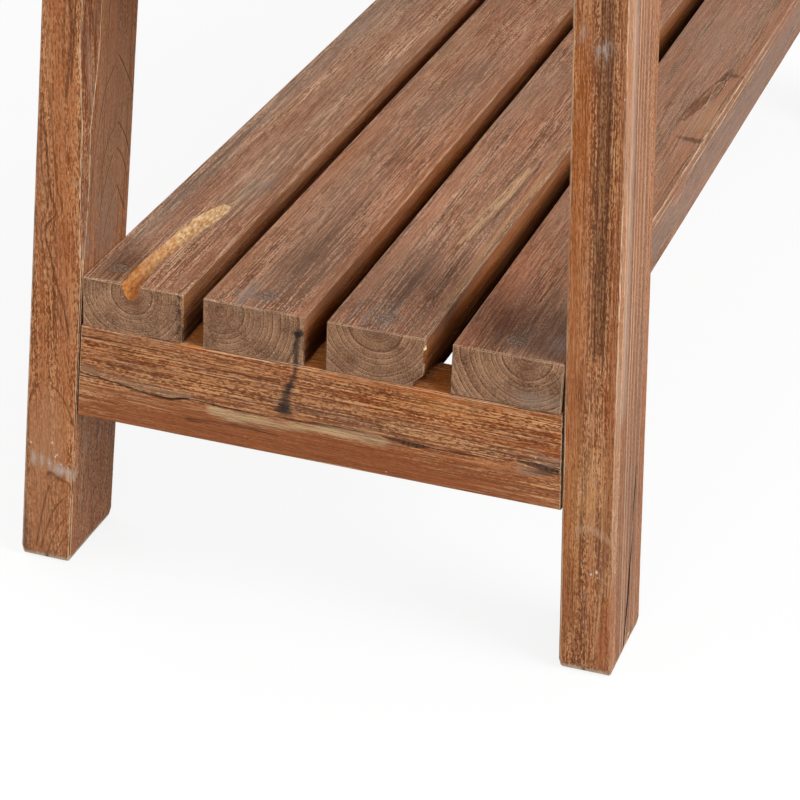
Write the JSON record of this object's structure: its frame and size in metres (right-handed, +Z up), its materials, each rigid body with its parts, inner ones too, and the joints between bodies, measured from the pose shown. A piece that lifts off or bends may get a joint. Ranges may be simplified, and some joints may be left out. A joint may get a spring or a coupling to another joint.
{
  "type": "shoe storage bench",
  "caption": "Rustic slatted teak bench on splayed legs, with a low slatted shelf between the end frames for shoes.",
  "frame": {"origin": "on the floor, under the middle of the bench", "axes": "+X along the bench, -Y towards its front, +Z up"},
  "size_m": [1, 0.3604, 0.485],
  "materials": {
    "teak_leg": "satin",
    "teak_rail": "satin",
    "teak_slat": "satin",
    "wood_filler": "matt",
    "zinc_plated_steel": "satin"
  },
  "bodies": {
    "root": {"apron_front": "teak_rail", "apron_rear": "teak_rail", "leg_front_left": "teak_leg", "leg_front_right": "teak_leg", "leg_rear_left": "teak_leg", "leg_rear_right": "teak_leg", "lower_rail_left": "teak_rail", "lower_rail_right": "teak_rail", "seat_1_left_filler": "wood_filler", "seat_1_left_screw": "zinc_plated_steel", "seat_1_right_filler": "wood_filler", "seat_1_right_screw": "zinc_plated_steel", "seat_2_left_filler": "wood_filler", "seat_2_left_screw": "zinc_plated_steel", "seat_2_right_filler": "wood_filler", "seat_2_right_screw": "zinc_plated_steel", "seat_3_left_filler": "wood_filler", "seat_3_left_screw": "zinc_plated_steel", "seat_3_right_filler": "wood_filler", "seat_3_right_screw": "zinc_plated_steel", "seat_4_left_filler": "wood_filler", "seat_4_left_screw": "zinc_plated_steel", "seat_4_right_filler": "wood_filler", "seat_4_right_screw": "zinc_plated_steel", "seat_5_left_filler": "wood_filler", "seat_5_left_screw": "zinc_plated_steel", "seat_5_right_filler": "wood_filler", "seat_5_right_screw": "zinc_plated_steel", "seat_slat_1": "teak_slat", "seat_slat_2": "teak_slat", "seat_slat_3": "teak_slat", "seat_slat_4": "teak_slat", "seat_slat_5": "teak_slat", "shelf_1_left_filler": "wood_filler", "shelf_1_left_screw": "zinc_plated_steel", "shelf_1_right_filler": "wood_filler", "shelf_1_right_screw": "zinc_plated_steel", "shelf_2_left_filler": "wood_filler", "shelf_2_left_screw": "zinc_plated_steel", "shelf_2_right_filler": "wood_filler", "shelf_2_right_screw": "zinc_plated_steel", "shelf_3_left_filler": "wood_filler", "shelf_3_left_screw": "zinc_plated_steel", "shelf_3_right_filler": "wood_filler", "shelf_3_right_screw": "zinc_plated_steel", "shelf_4_left_filler": "wood_filler", "shelf_4_left_screw": "zinc_plated_steel", "shelf_4_right_filler": "wood_filler", "shelf_4_right_screw": "zinc_plated_steel", "shelf_slat_1": "teak_slat", "shelf_slat_2": "teak_slat", "shelf_slat_3": "teak_slat", "shelf_slat_4": "teak_slat", "upper_rail_left": "teak_rail", "upper_rail_right": "teak_rail"}
  },
  "joints": []
}
